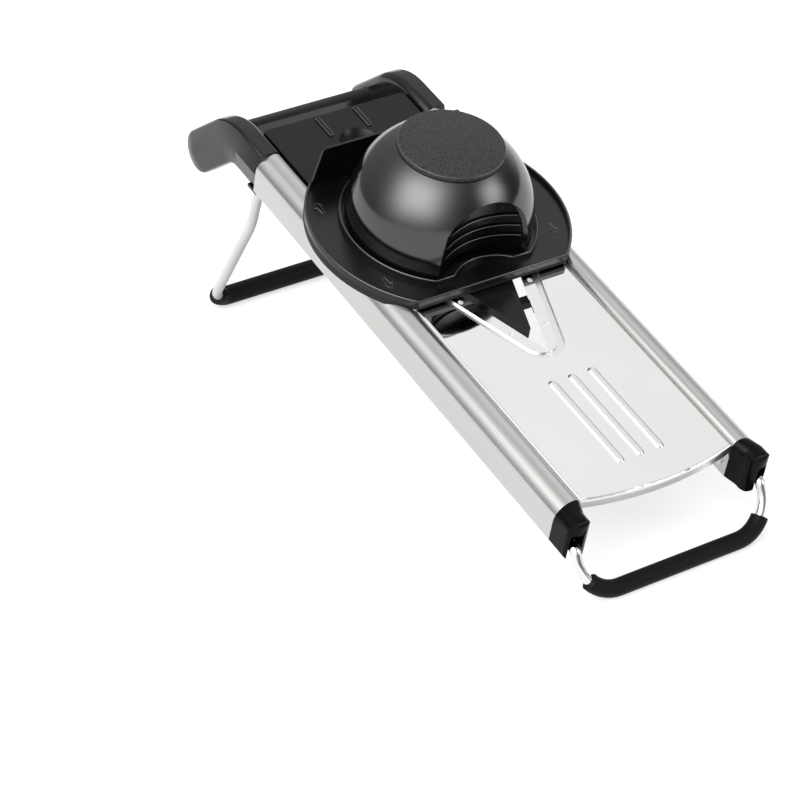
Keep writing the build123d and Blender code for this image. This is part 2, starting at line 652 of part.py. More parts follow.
def make_guard_tray():
    skirt_bottom = GUARD_FLOOR_TOP - GUARD_SKIRT_DROP
    rim = guard_outline() - guard_outline(GUARD_RIM_WALL)
    tray = upward(rim, skirt_bottom, GUARD_RIM_TOP)
    tray += upward(guard_outline(), GUARD_FLOOR_TOP - GUARD_FLOOR, GUARD_FLOOR_TOP)
    half = RAIL_INNER + RAIL_INNER_RADIUS
    tray -= block(-half, half, 0, RAIL_LENGTH, RAIL_BOTTOM, GUARD_MIDDLE_BOTTOM)
    saddle = along(rail_section(-GUARD_RAIL_GAP), 0, RAIL_LENGTH)
    tray -= [saddle, flip(saddle)]
    wall_top = GUARD_FLOOR_TOP + BACK_WALL_HEIGHT
    corners = [(-BACK_WALL_BASE_HALF, GUARD_FLOOR_TOP), (BACK_WALL_BASE_HALF, GUARD_FLOOR_TOP),
               (BACK_WALL_TOP_HALF, wall_top), (-BACK_WALL_TOP_HALF, wall_top)]
    wall = along(make_face(Polyline(*corners, close=True)), GUARD_REAR - BACK_WALL, GUARD_REAR)
    tray += fillet(wall.edges().filter_by(Axis.Y).group_by(Axis.Z)[-1], COLLAR_CORNER)
    ring = (collar_outline() - offset(collar_outline(), -COLLAR_WALL)) & guard_outline()
    tray += upward(ring, GUARD_FLOOR_TOP - GUARD_FLOOR, GUARD_FLOOR_TOP + COLLAR_HEIGHT)
    return tray - upward(food_opening(), skirt_bottom, GUARD_RIM_TOP)


# Pusher

def dome_solid(radius, bottom, top):
    """A round-topped plug about the pusher's axis, cut flat at the bottom and the top."""
    centre = Pos(0, GUARD_CENTRE)
    ball = centre * Pos(0, 0, DOME_EQUATOR) * Sphere(radius)
    plug = ball & upward(centre * Circle(2 * radius), DOME_EQUATOR, top)
    return plug + upward(centre * Circle(radius), bottom, DOME_EQUATOR)


def scoop_solid(wall=0.0):
    """The space of the finger scoop: an upright round back under an arch, grown by its wall."""
    spring = DOME_EQUATOR + SCOOP_RISE
    half = SCOOP_HALF + wall
    back = upward(Pos(0, SCOOP_AXIS) * Circle(SCOOP_RADIUS + wall), DOME_BOTTOM, DOME_BOTTOM + BEYOND)
    arch = Pos(0, spring) * Circle(half) + Pos(0, spring - half / 2) * Rectangle(2 * half, half)
    return back & along(arch, SCOOP_AXIS, GUARD_CENTRE)


def boss_places():
    """Where the bosses stand: evenly round the pusher's axis, one of them at the rear."""
    turns = [90 + index * 360 / BOSS_COUNT for index in range(BOSS_COUNT)]
    return [Pos(0, GUARD_CENTRE) * Pos(BOSS_CIRCLE * heading(turn)) for turn in turns]


def make_pusher_dome():
    """The hollow dome with its bosses, its mouth for the fingers and its socket for the pad."""
    outer = dome_solid(DOME_RADIUS, DOME_BOTTOM, PAD_SEAT)
    dome = outer - dome_solid(DOME_INNER, DOME_BOTTOM - DOME_SKIRT, PAD_SEAT - DOME_WALL)
    for place in boss_places():
        dome += upward(place * Circle(BOSS_RADIUS), SPIKE_PLATE_TOP, PAD_SEAT) & outer
        bore = place * Circle(SCREW_SHANK / 2 + SCREW_GAP)
        dome -= upward(bore, SPIKE_PLATE_TOP, SPIKE_PLATE_TOP + SCREW_SHANK_LENGTH)
    socket = Pos(0, GUARD_CENTRE) * Circle(PAD_SPIGOT_RADIUS + PAD_GAP)
    return dome - scoop_solid() - upward(socket, PAD_SEAT - DOME_WALL, BEYOND)


def make_finger_scoop():
    """The ridged wall behind the dome's mouth, set against the inside of the shell."""
    inside = dome_solid(DOME_INNER, DOME_BOTTOM, PAD_SEAT - DOME_WALL)
    scoop = (scoop_solid(SCOOP_WALL) - scoop_solid()) & inside
    band = Circle(SCOOP_RADIUS + SCOOP_WALL / 2) - Circle(SCOOP_RADIUS - RIDGE_PROUD)
    for index in range(RIDGE_COUNT):
        level = DOME_EQUATOR + RIDGE_FIRST + index * RIDGE_PITCH
        ridge = upward(Pos(0, SCOOP_AXIS) * band, level - RIDGE_THICKNESS / 2, level + RIDGE_THICKNESS / 2)
        scoop += ridge & scoop_solid(SCOOP_WALL / 2) & inside
    return scoop


def make_pusher_pad():
    """A crowned disc with an undercut side, on a spigot."""
    top = PAD_SEAT + PAD_EDGE + PAD_CROWN
    ball = (PAD_RADIUS**2 + PAD_CROWN**2) / (2 * PAD_CROWN)
    rim = (PAD_RADIUS, PAD_SEAT + PAD_EDGE)
    crown = (PAD_RADIUS / 2, top - ball + math.sqrt(ball**2 - PAD_RADIUS**2 / 4))
    outline = Curve() + [
        ThreePointArc((0, top), crown, rim),
        Polyline(rim, (PAD_SEAT_RADIUS, PAD_SEAT), (0, PAD_SEAT), (0, top)),
    ]
    face = make_face(outline)
    face = fillet(face.vertices().sort_by_distance(rim)[0], PAD_ROUND)
    centre = Pos(0, GUARD_CENTRE)
    pad = centre * revolve(Plane.XZ * face, Axis.Z)
    return pad + upward(centre * Circle(PAD_SPIGOT_RADIUS), PAD_SEAT - PAD_SPIGOT_LENGTH, PAD_SEAT)


def spike_places():
    """A square grid of spikes that stays clear of the scoop and the screws."""
    reach = DOME_INNER - DOME_LEDGE - BOSS_RADIUS
    places = []
    for column in range(-SPIKE_RINGS, SPIKE_RINGS + 1):
        for row in range(-SPIKE_RINGS, SPIKE_RINGS + 1):
            x = column * SPIKE_PITCH
            y = GUARD_CENTRE + row * SPIKE_PITCH
            in_opening = math.hypot(x, y - GUARD_CENTRE) < reach
            behind_scoop = math.hypot(x, y - SCOOP_AXIS) > SCOOP_RADIUS + SCOOP_WALL + BOSS_RADIUS
            bosses = [boss.position for boss in boss_places()]
            off_screws = all(math.hypot(x - boss.X, y - boss.Y) > 2 * BOSS_RADIUS for boss in bosses)
            if in_opening and behind_scoop and off_screws:
                places.append(Pos(x, y))
    return places


def make_spike_plate():
    face = Pos(0, GUARD_CENTRE) * Circle(DOME_INNER - SPIKE_PLATE_GAP)
    face -= Pos(0, SCOOP_AXIS) * Circle(SCOOP_RADIUS + SCOOP_WALL + SPIKE_PLATE_GAP)
    for place in boss_places():
        face -= place * Circle(SCREW_SHANK / 2 + SCREW_GAP)
    plate = upward(face, SPIKE_PLATE_BOTTOM, SPIKE_PLATE_TOP)
    root = SPIKE_PLATE_BOTTOM + SPIKE_ROOT
    for place in spike_places():
        plate -= upward(place * Circle(SPIKE_DIAMETER / 2), SPIKE_PLATE_BOTTOM, root)
    return plate


def make_food_spikes():
    spikes = []
    root = SPIKE_PLATE_BOTTOM + SPIKE_ROOT
    for place in spike_places():
        pin = upward(place * Circle(SPIKE_DIAMETER / 2), SPIKE_TIP + SPIKE_POINT, root)
        cone = place * Pos(0, 0, SPIKE_TIP + SPIKE_POINT / 2) * Rot(180, 0, 0)
        spikes.append(pin + cone * Cone(SPIKE_DIAMETER / 2, 0, SPIKE_POINT))
    return Compound(spikes)


def make_pusher_screws():
    screws = []
    for place in boss_places():
        head_face = SPIKE_PLATE_BOTTOM - SCREW_HEAD_HEIGHT
        head = upward(place * Circle(SCREW_HEAD / 2), head_face, SPIKE_PLATE_BOTTOM)
        head = fillet(head.edges().filter_by(GeomType.CIRCLE).sort_by(Axis.Z)[0], SCREW_HEAD_HEIGHT / 2)
        end = SPIKE_PLATE_TOP + SCREW_SHANK_LENGTH - SCREW_GAP
        shank = upward(place * Circle(SCREW_SHANK / 2), SPIKE_PLATE_BOTTOM - SCREW_HEAD_HEIGHT / 2, end)
        screws.append(head + shank)
    return Compound(screws)


def make_rail_screws():
    right = [make_rail_screw(place) for place in (SCREW_INSET, RAIL_LENGTH - SCREW_INSET)]
    return Compound([*right, *[flip(screw) for screw in right]])


def make_parts():
    """Every piece by its name, lying flat."""
    parts = {
        "lower_plate": make_lower_plate(),
        "cross_brace": make_cross_brace(),
        "handle": make_handle(),
        "rail_screws": make_rail_screws(),
        "front_foot_wire": make_front_foot_wire(),
        "front_foot_sleeve": make_front_foot_sleeve(),
        "rear_stand_wire": make_rear_stand_wire(),
        "rear_stand_sleeve": make_rear_stand_sleeve(),
        "slicing_insert": make_insert(),
        "guard_tray": make_guard_tray(),
        "pusher_dome": make_pusher_dome(),
        "finger_scoop": make_finger_scoop(),
        "pusher_pad": make_pusher_pad(),
        "spike_plate": make_spike_plate(),
        "food_spikes": make_food_spikes(),
        "pusher_screws": make_pusher_screws(),
    }
    pairs = {
        "rail": make_rail(),
        "end_cap": make_end_cap(),
        "blade": make_blade(),
        "guide": make_guide(),
        "bracket": make_bracket(),
    }
    for name, shape in pairs.items():
        parts["right_" + name] = shape
        parts["left_" + name] = flip(shape)
    return parts


def standing_tilt():
    """The angle at which both feet touch the table."""
    run = REAR_FOOT[0] - FRONT_FOOT[0]
    rise = REAR_FOOT[1] - FRONT_FOOT[1]
    step = (REAR_SLEEVE - FRONT_SLEEVE) / 2
    return math.degrees(math.asin(step / math.hypot(run, rise)) - math.atan2(rise, run))


def place_parts(parts):
    """Tilt the slicer on to its feet and put the middle of its underside at the origin."""
    tilted = {name: Rot(standing_tilt(), 0, 0) * shape for name, shape in parts.items()}
    box = Compound(list(tilted.values())).bounding_box()
    shift = Pos(-box.center().X, -box.center().Y, -box.min.Z)
    return {name: shift * shape for name, shape in tilted.items()}


if __name__ == "__main__":
    os.makedirs("parts", exist_ok=True)
    for name, shape in place_parts(make_parts()).items():
        export_step(shape, "parts/" + name + ".step")
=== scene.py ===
import math

import bmesh
import bpy
from mathutils import Matrix, Vector


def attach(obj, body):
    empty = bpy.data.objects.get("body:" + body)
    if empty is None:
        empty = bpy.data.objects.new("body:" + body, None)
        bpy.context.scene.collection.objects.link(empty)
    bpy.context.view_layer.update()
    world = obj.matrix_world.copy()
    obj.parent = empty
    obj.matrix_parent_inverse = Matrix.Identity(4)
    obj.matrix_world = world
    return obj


# The slicer stands tilted on its feet. Pieces are placed in its own flat frame, in millimetres:
# X across the deck, Y along it towards the handle, Z up from the deck's top. A turn about X and
# a shift in metres take them to the shared frame.
TILT = math.radians(15.189946)
SHIFT = Vector((0.0, -0.183932, 0.051813))
FLAT = Matrix.Translation(SHIFT) @ Matrix.Rotation(TILT, 4, "X")

# Guard tray, collar and finger notch
GUARD_CENTRE = 221.5
GUARD_RADIUS = 78.0
GUARD_FRONT = 162.3
GUARD_REAR = 278.6
GUARD_FLOOR_TOP = 4.5
RIM_TOP = 7.0
RIM_MIDDLE = 0.8
COLLAR_RADIUS = 58.4
COLLAR_FRONT = 172.8
COLLAR_TOP = 7.3
COLLAR_MIDDLE = 0.9
NOTCH_HALF = 19.8
NOTCH_DEPTH = 7.8

# Dome, and the ridges of its finger scoop, which end at angles in degrees from +X
DOME_EQUATOR = 12.8
DOME_INNER = 52.4
RIDGE_RADIUS = 49.0
RIDGE_AXIS = 135.5
RIDGE_ENDS = (130, 50)
RIDGE_LEVELS = (19.0, 26.3, 33.6)

# Pad, by points of radius and height, with a line of painted highlight on its edge and a line of painted
# shade under its rim
PAD_RIM_PROFILE = ((30.2, 61.15), (30.6, 61.1), (30.85, 60.8), (30.95, 60.4), (30.95, 58.0), (30.2, 58.2))
PAD_HIGHLIGHT = (30.8, 60.8)
PAD_SHADE = (30.95, 57.95)

# Arrows on the tray's brim: name, X and Y of the tail, and turn from +Y in degrees
ARROWS = (
    ("arrow_rear_left", -58.3, 253.3, 0),
    ("arrow_front_left", -56.7, 191.0, 180),
    ("arrow_front_right", 58.4, 192.8, 180),
)
ARROW_LENGTH = 9.5
ARROW_HEAD = 4.0
ARROW_HALF_HEAD = 3.0
ARROW_HALF_SHAFT = 1.1

# Grip ribs on the insert
GRIP_OFFSET = 13.25
GRIP_FRONT = 318.5
GRIP_REAR = 335.2
GRIP_TOP = 0.3
GRIP_HALF = 1.3

# Radii of the moulded lines, how finely round forms are divided, and a sharp edge in degrees
RIM_LINE = 0.45
COLLAR_LINE = 0.5
FINE_LINE = 0.3
# The next two: radii of the pad's painted highlight line and painted shade line
PAD_HIGHLIGHT_LINE = 0.22
PAD_SHADE_LINE = 0.5
LINE_ROUNDNESS = 3
ARC_STEPS = 48
NOTCH_STEPS = 24
GRIP_STEPS = 12
CIRCLE_POINTS = 120
RING_SIDES = 128
RING_SHARP = 50

# Softened edges: their widths, and the angles in degrees that count as sharp and as flat
EDGE_WIDTHS = {
    "guard_tray": 0.7, "pusher_dome": 0.5, "slicing_insert": 0.5,
    "left_end_cap": 0.8, "right_end_cap": 0.8, "cross_brace": 0.4,
}
HANDLE_EDGE_WIDTH = 0.6
EDGE_STEPS = 2
EDGE_ANGLE = 28
WELD_REACH = 0.005
FLAT_ANGLE = 0.5

# Materials: the size of their patches and hairs along X, Y and Z, and where they turn duller
STEEL_PATCHES = (40, 60, 40)
STREAK_SHARE = 0.7
PATCH_SHARE = 0.3
PLASTIC_MOTTLE = (25, 25, 25)
PLATE_HAIRS = (0.5, 60, 0.5)
PLATE_HAIR_DEPTH = 0.0001
PLATE_PATCHES = (45, 70, 45)
PLATE_BENT = (0.02, 0.35)
TRAY_DULL_TOP = 4.0
TRAY_DULL_FADE = 0.3
TRAY_DULL_ROUGH = 0.65

# Floor: half its side in metres, its grey, and the glow that makes it white to the eye
FLOOR_HALF = 12.0
FLOOR_GREY = 0.5
FLOOR_GLOW = 0.56

# Surroundings. A panel is azimuth, elevation, half width and half height in degrees, and level.
SKY_AXIS = (0, 0.55, 0.83)
SKY_LEVELS = (0.12, 0.46)
SKY_ENDS = (0.1, 0.9)
PANELS = (
    (-114, 38, 26, 23, 6.2),
    (136, 24, 14, 12, 4.1),
    (62, 4, 16, 10, 0.8),
    (55, 56, 30, 25, 0.6),
)
PANEL_FALLOFF = 2.5

# Camera: its film and lens in millimetres, and its axes and place in the flat frame, in metres
CAMERA_SENSOR = 36.0
CAMERA_LENS = 135.474
CAMERA_RIGHT = Vector((0.83984, -0.52727, 0.12907))
CAMERA_UP = Vector((0.28427, 0.62975, 0.72292))
CAMERA_BACK = Vector((-0.46245, -0.57044, 0.67877))
CAMERA_PLACE = Vector((-0.852110, -0.824227, 1.106649))

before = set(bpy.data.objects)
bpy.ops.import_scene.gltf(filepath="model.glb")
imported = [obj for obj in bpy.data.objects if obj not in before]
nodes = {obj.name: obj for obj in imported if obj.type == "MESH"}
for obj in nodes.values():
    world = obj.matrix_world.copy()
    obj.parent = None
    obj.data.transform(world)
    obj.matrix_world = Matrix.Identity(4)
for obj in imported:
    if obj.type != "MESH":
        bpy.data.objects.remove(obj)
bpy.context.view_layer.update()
scene = bpy.context.scene


def flat(x, y, z):
    """A point of the flat frame, in millimetres, as a point of the shared frame in metres."""
    return FLAT @ Vector((x / 1000, y / 1000, z / 1000))


# Shader nodes

def link(tree, out, into):
    tree.links.new(out, into)


def new_node(tree, kind, **values):
    """A shader node of this kind with these settings."""
    node = tree.nodes.new("ShaderNode" + kind)
    for key, value in values.items():
        setattr(node, key, value)
    return node


def maths(tree, operation, *terms):
    """The result of a Math node on numbers and sockets."""
    node = new_node(tree, "Math", operation=operation)
    for socket, term in zip(node.inputs, terms):
        if isinstance(term, bpy.types.NodeSocket):
            link(tree, term, socket)
        else:
            socket.default_value = term
    return node.outputs["Value"]


def along(tree, coords, axis):
    """How far the coordinates reach along an axis."""
    node = new_node(tree, "VectorMath", operation="DOT_PRODUCT")
    node.inputs[1].default_value = axis
    link(tree, coords, node.inputs[0])
    return node.outputs["Value"]


def flat_coords(tree, scale):
    """Coordinates along the slicer's own axes, in features of this size in millimetres."""
    coords = new_node(tree, "TexCoord")
    mapping = new_node(tree, "Mapping", vector_type="TEXTURE")
    mapping.inputs["Location"].default_value = SHIFT
    mapping.inputs["Rotation"].default_value = (TILT, 0, 0)
    mapping.inputs["Scale"].default_value = [value / 1000 for value in scale]
    link(tree, coords.outputs["Object"], mapping.inputs["Vector"])
    return mapping.outputs["Vector"]


def deck_height(tree):
    """The height above the deck's top, in millimetres."""
    node = new_node(tree, "SeparateXYZ")
    link(tree, flat_coords(tree, (1, 1, 1)), node.inputs["Vector"])
    return node.outputs["Z"]


def noise(tree, scale, detail=2.0, rough=0.5):
    """Noise with features of this size along each of the slicer's axes."""
    node = new_node(tree, "TexNoise")
    node.inputs["Scale"].default_value = 1.0
    node.inputs["Detail"].default_value = detail
    node.inputs["Roughness"].default_value = rough
    link(tree, flat_coords(tree, scale), node.inputs["Vector"])
    return node.outputs["Fac"]


def spread(tree, value, low, high, start=0.3, end=0.7):
    """A number between low and high as the value goes from start to end."""
    node = new_node(tree, "MapRange")
    node.inputs["From Min"].default_value = start
    node.inputs["From Max"].default_value = end
    node.inputs["To Min"].default_value = low
    node.inputs["To Max"].default_value = high
    link(tree, value, node.inputs["Value"])
    return node.outputs["Result"]


def blend(tree, factor, first, second):
    """One colour turning into another."""
    node = new_node(tree, "Mix", data_type="RGBA")
    link(tree, factor, node.inputs["Factor"])
    node.inputs["A"].default_value = (*first, 1)
    node.inputs["B"].default_value = (*second, 1)
    return node.outputs["Result"]


def bump(tree, height, depth):
    """A bump of this depth in millimetres."""
    node = new_node(tree, "Bump")
    node.inputs["Strength"].default_value = 1.0
    node.inputs["Distance"].default_value = depth / 1000
    link(tree, height, node.inputs["Height"])
    return node.outputs["Normal"]


# Materials

def grey(level):
    return (level, level, level)


def new_material(name):
    """A new material, its nodes and its shader."""
    material = bpy.data.materials.new(name)
    material.use_nodes = True
    tree = material.node_tree
    return material, tree, tree.nodes["Principled BSDF"]


def steel(name, dark, light, grain, rough, depth):
    """Bare steel with a grain of this size, and roughness and colour that follow it."""
    material, tree, shader = new_material(name)
    shader.inputs["Metallic"].default_value = 1.0
    streaks = noise(tree, grain, detail=3.0, rough=0.6)
    patches = spread(tree, noise(tree, STEEL_PATCHES), 0.0, PATCH_SHARE)
    link(tree, blend(tree, spread(tree, streaks, 0, 1), dark, light), shader.inputs["Base Color"])
    wear = maths(tree, "MULTIPLY_ADD", streaks, STREAK_SHARE, patches)
    link(tree, spread(tree, wear, *rough), shader.inputs["Roughness"])
    link(tree, bump(tree, streaks, depth), shader.inputs["Normal"])
    return material


def polished(name, dark, light, rough, lip_rough):
    """Mirror-bright sheet with faint hairlines, duller where it is pressed out of the deck's plane."""
    material, tree, shader = new_material(name)
    shader.inputs["Metallic"].default_value = 1.0
    hairs = noise(tree, PLATE_HAIRS, detail=3.0, rough=0.6)
    patches = noise(tree, PLATE_PATCHES)
    link(tree, blend(tree, spread(tree, patches, 0, 1), dark, light), shader.inputs["Base Color"])
    pressed = maths(tree, "ABSOLUTE", deck_height(tree))
    bent = spread(tree, pressed, rough, lip_rough, *PLATE_BENT)
    link(tree, maths(tree, "MULTIPLY_ADD", hairs, rough, bent), shader.inputs["Roughness"])
    link(tree, bump(tree, hairs, PLATE_HAIR_DEPTH), shader.inputs["Normal"])
    return material


def plastic(name, dark, light, rough, ior, grain, depth):
    """Moulded plastic: faint mottling, uneven gloss and a fine skin of this size and depth."""
    material, tree, shader = new_material(name)
    shader.inputs["IOR"].default_value = ior
    mottle = noise(tree, PLASTIC_MOTTLE, detail=3.0)
    skin = noise(tree, (grain, grain, grain))
    link(tree, blend(tree, spread(tree, mottle, 0, 1), dark, light), shader.inputs["Base Color"])
    link(tree, spread(tree, mottle, *rough), shader.inputs["Roughness"])
    link(tree, bump(tree, skin, depth), shader.inputs["Normal"])
    return material


def dull_below(material, level, fade, rough):
    """Make a material duller below this height in the flat frame, in millimetres."""
    tree = material.node_tree
    into = tree.nodes["Principled BSDF"].inputs["Roughness"]
    dull = spread(tree, deck_height(tree), rough, 0.0, level - fade, level + fade)
    link(tree, maths(tree, "MAXIMUM", into.links[0].from_socket, dull), into)


def rubber(name, dark, light, rough, ior, grain, depth):
    """Soft rubber with a pebbled skin, lighter and duller on top of the pebbles."""
    material, tree, shader = new_material(name)
    shader.inputs["IOR"].default_value = ior
    pebbles = noise(tree, (grain, grain, grain), detail=4.0, rough=0.65)
    tops = spread(tree, pebbles, 0, 1, start=0.35, end=0.65)
    link(tree, blend(tree, tops, dark, light), shader.inputs["Base Color"])
    link(tree, spread(tree, pebbles, *rough), shader.inputs["Roughness"])
    link(tree, bump(tree, pebbles, depth), shader.inputs["Normal"])
    return material


rail_steel = steel("rail_steel", (0.50, 0.495, 0.485), (0.60, 0.595, 0.585),
                   grain=(0.25, 45, 0.25), rough=(0.2, 0.28), depth=0.005)
plate_steel = polished("plate_steel", (0.78, 0.78, 0.77), (0.81, 0.81, 0.80),
                       rough=0.03, lip_rough=0.3)
blade_steel = steel("blade_steel", (0.74, 0.75, 0.76), (0.82, 0.83, 0.84),
                    grain=(12, 0.4, 0.4), rough=(0.06, 0.12), depth=0.001)
chrome = steel("foot_chrome", (0.70, 0.70, 0.71), (0.78, 0.78, 0.79),
               grain=(6, 6, 6), rough=(0.05, 0.10), depth=0.003)
fastener_steel = steel("fastener_steel", grey(0.58), grey(0.70),
                       grain=(1.5, 1.5, 1.5), rough=(0.2, 0.34), depth=0.006)
wire_grey = plastic("stand_steel", (0.50, 0.51, 0.52), (0.56, 0.57, 0.58),
                    rough=(0.30, 0.42), ior=1.4, grain=0.8, depth=0.006)
gloss_plastic = plastic("dome_plastic", grey(0.002), grey(0.004),
                        rough=(0.12, 0.16), ior=1.76, grain=0.9, depth=0.002)
tray_plastic = plastic("tray_plastic", grey(0.002), grey(0.004),
                       rough=(0.22, 0.30), ior=1.42, grain=0.7, depth=0.003)
dull_below(tray_plastic, TRAY_DULL_TOP, TRAY_DULL_FADE, TRAY_DULL_ROUGH)
cap_plastic = plastic("cap_plastic", grey(0.002), grey(0.003),
                      rough=(0.10, 0.16), ior=1.17, grain=0.7, depth=0.002)
handle_plastic = plastic("handle_plastic", grey(0.003), grey(0.005),
                         rough=(0.14, 0.20), ior=1.4, grain=0.6, depth=0.004)
insert_plastic = plastic("insert_plastic", grey(0.004), grey(0.006),
                         rough=(0.20, 0.27), ior=1.28, grain=0.5, depth=0.004)
scoop_plastic = plastic("scoop_plastic", grey(0.001), grey(0.002),
                        rough=(0.24, 0.32), ior=1.25, grain=0.7, depth=0.003)
# Lighter plastic for the moulded lines: real raised beads whose lighter colour is painted highlight
painted_highlight_plastic = plastic("painted_highlight_plastic", grey(0.025), grey(0.035),
                       rough=(0.14, 0.20), ior=1.9, grain=0.7, depth=0.001)
pad_rubber = rubber("pad_rubber", grey(0.001), grey(0.04),
                    rough=(0.32, 0.48), ior=1.4, grain=1.0, depth=0.25)
sleeve_rubber = rubber("sleeve_rubber", grey(0.003), grey(0.005),
                       rough=(0.42, 0.58), ior=1.2, grain=0.8, depth=0.03)

FINISHES = {
    "left_rail": rail_steel, "right_rail": rail_steel,
    "lower_plate": plate_steel, "left_blade": blade_steel, "right_blade": blade_steel,
    "cross_brace": tray_plastic, "left_guide": insert_plastic, "right_guide": insert_plastic,
    "handle": handle_plastic, "left_end_cap": cap_plastic, "right_end_cap": cap_plastic,
    "rail_screws": fastener_steel, "left_bracket": handle_plastic, "right_bracket": handle_plastic,
    "rear_stand_wire": wire_grey, "rear_stand_sleeve": sleeve_rubber,
    "front_foot_wire": chrome, "front_foot_sleeve": sleeve_rubber,
    "slicing_insert": insert_plastic, "guard_tray": tray_plastic,
    "pusher_dome": gloss_plastic, "finger_scoop": scoop_plastic, "pusher_pad": pad_rubber,
    "spike_plate": tray_plastic, "food_spikes": fastener_steel, "pusher_screws": fastener_steel,
}
for name, material in FINISHES.items():
    mesh = nodes[name].data
    mesh.materials.clear()
    mesh.materials.append(material)


# Softened edges on the mouldings

def soften(name, width, flat_sided=False):
    """Round the sharp edges of a solid by this width in millimetres.

    A flat-sided solid keeps its sides' own normals. On the others larger faces weigh more.
    """
    piece = nodes[name]
    weld = piece.modifiers.new("weld", "WELD")
    weld.merge_threshold = WELD_REACH / 1000
    flatten = piece.modifiers.new("flatten", "DECIMATE")
    flatten.decimate_type = "DISSOLVE"
    flatten.angle_limit = math.radians(FLAT_ANGLE)
    bevel = piece.modifiers.new("edges", "BEVEL")
    bevel.width = width / 1000
    bevel.segments = EDGE_STEPS
    bevel.limit_method = "ANGLE"
    bevel.angle_limit = math.radians(EDGE_ANGLE)
    bevel.use_clamp_overlap = True
    bevel.harden_normals = flat_sided
    if not flat_sided:
        normals = piece.modifiers.new("normals", "WEIGHTED_NORMAL")
        normals.keep_sharp = False


for name, width in EDGE_WIDTHS.items():
    soften(name, width)
soften("handle", HANDLE_EDGE_WIDTH, flat_sided=True)


# Moulded lines: rims, ridges, arrows and grips, drawn lighter than the plastic round them as painted
# highlight

def add_object(name, data):
    """A new object in the scene."""
    thing = bpy.data.objects.new(name, data)
    scene.collection.objects.link(thing)
    return thing


def make_line(name, points, radius, body, closed=False, material=painted_highlight_plastic):
    """A round moulded line through points of the flat frame, by default in the lighter plastic of painted
    highlight.
    """
    curve = bpy.data.curves.new(name + ".path", "CURVE")
    curve.dimensions = "3D"
    curve.bevel_depth = radius / 1000
    curve.bevel_resolution = LINE_ROUNDNESS
    curve.use_fill_caps = True
    spline = curve.splines.new("POLY")
    spline.points.add(len(points) - 1)
    spline.use_cyclic_u = closed
    for point, place in zip(spline.points, points):
        point.co = (*flat(*place), 1)
    path = add_object(name + ".path", curve)
    evaluated = path.evaluated_get(bpy.context.evaluated_depsgraph_get())
    mesh = bpy.data.meshes.new_from_object(evaluated)
    bpy.data.objects.remove(path)
    bpy.data.curves.remove(curve)
    mesh.name = name
    mesh.materials.clear()
    mesh.materials.append(material)
    line = add_object(name, mesh)
    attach(line, body)


def arc(centre, radius, start, end, level, count=ARC_STEPS):
    """Points on a level arc about a point of the slicer's middle, by angles in degrees from +X."""
    turns = [math.radians(start + (end - start) * step / count) for step in range(count + 1)]
    return [(radius * math.cos(turn), centre + radius * math.sin(turn), level) for turn in turns]


def circle(radius, level):
    """Points all round the dome's axis, for a closed line."""
    last = 360 - 360 / CIRCLE_POINTS
    return arc(GUARD_CENTRE, radius, 0, last, level, CIRCLE_POINTS - 1)


def chord(radius, offset):
    """Half the angle in degrees, seen from the middle, that a cut at this offset leaves."""
    return math.degrees(math.asin(offset / radius))


def make_tray_rim():
    """The tray's rim: its right side, straight front edge and left side."""
    radius = GUARD_RADIUS - RIM_MIDDLE
    low = chord(radius, GUARD_CENTRE - GUARD_FRONT - RIM_MIDDLE)
    high = chord(radius, GUARD_REAR - RIM_MIDDLE - GUARD_CENTRE)
    right = arc(GUARD_CENTRE, radius, high, -low, RIM_TOP)
    left = arc(GUARD_CENTRE, radius, 180 + low, 180 - high, RIM_TOP)
    make_line("tray_rim", [*right, *left], RIM_LINE, "guard")


def make_collar_rim():
    """The collar's rim, from the back wall round the finger notch to the back wall again."""
    radius = COLLAR_RADIUS - COLLAR_MIDDLE
    low = chord(radius, GUARD_CENTRE - COLLAR_FRONT - COLLAR_MIDDLE)
    high = chord(radius, GUARD_REAR - 2 * RIM_MIDDLE - GUARD_CENTRE)
    right = arc(GUARD_CENTRE, radius, -low, high, COLLAR_TOP)
    left = arc(GUARD_CENTRE, radius, 180 - high, 180 + low, COLLAR_TOP)
    bite = (NOTCH_HALF**2 + NOTCH_DEPTH**2) / (2 * NOTCH_DEPTH)
    hub = COLLAR_FRONT + NOTCH_DEPTH - bite
    reach = chord(bite + COLLAR_MIDDLE, COLLAR_FRONT + COLLAR_MIDDLE - hub)
    notch = arc(hub, bite + COLLAR_MIDDLE, 180 - reach, reach, COLLAR_TOP, NOTCH_STEPS)
    make_line("collar_rim", [*left, *notch, *right], COLLAR_LINE, "guard")


def make_ridges():
    """Lines along the finger scoop's ridges, as far as the inside of the dome."""
    for number, level in enumerate(RIDGE_LEVELS, 1):
        reach = math.sqrt(DOME_INNER**2 - (level - DOME_EQUATOR)**2)
        points = [(x, y, z) for x, y, z in arc(RIDGE_AXIS, RIDGE_RADIUS, *RIDGE_ENDS, level)
                  if math.hypot(x, y - GUARD_CENTRE) < reach]
        make_line(f"ridge_line_{number}", points, FINE_LINE, "pusher")


def make_pad_rim():
    """The pad's rounded rim, a turned ring that closes on the dome."""
    shape = bmesh.new()
    rings = []
    for step in range(RING_SIDES):
        turn = 2 * math.pi * step / RING_SIDES
        rings.append([shape.verts.new(flat(r * math.cos(turn), GUARD_CENTRE + r * math.sin(turn), z))
                      for r, z in PAD_RIM_PROFILE])
    for near, far in zip(rings, rings[1:] + rings[:1]):
        for index in range(len(near)):
            following = (index + 1) % len(near)
            shape.faces.new((near[index], near[following], far[following], far[index]))
    bmesh.ops.recalc_face_normals(shape, faces=shape.faces)
    for face in shape.faces:
        face.smooth = True
    mesh = bpy.data.meshes.new("pad_rim")
    shape.to_mesh(mesh)
    shape.free()
    mesh.set_sharp_from_angle(angle=math.radians(RING_SHARP))
    mesh.materials.append(pad_rubber)
    rim = add_object("pad_rim", mesh)
    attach(rim, "pusher")


